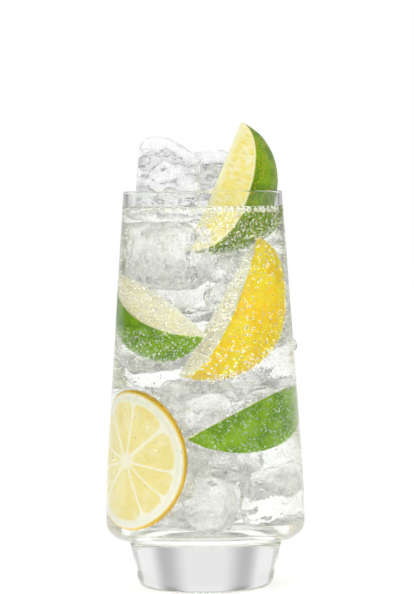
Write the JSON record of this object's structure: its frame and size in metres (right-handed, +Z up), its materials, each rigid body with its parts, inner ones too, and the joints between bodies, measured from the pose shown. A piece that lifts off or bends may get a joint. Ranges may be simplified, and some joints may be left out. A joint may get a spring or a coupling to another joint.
{
  "type": "glass of rum and soda",
  "caption": "Tall tapered glass with a solid stepped foot, filled with a clear iced drink, with a wedge of lime and blocks of ice standing out of it.",
  "frame": {"origin": "on the table, on the axis of the glass", "axes": "+Z up along the axis of the glass, -Y towards the front, from where the wedge of lime leans to the right, +X"},
  "size_m": [0.0798, 0.0798, 0.1855],
  "materials": {
    "glass": "clear and polished",
    "drink": "clear liquid",
    "lime": "satin green rind round pale yellow-green flesh",
    "ice": "clear ice, melted smooth, with white cracks inside"
  },
  "bodies": {
    "root": {"glass": "glass", "drink": "drink", "lime_wedge": "lime", "ice_left": "ice", "ice_back": "ice"}
  },
  "joints": []
}
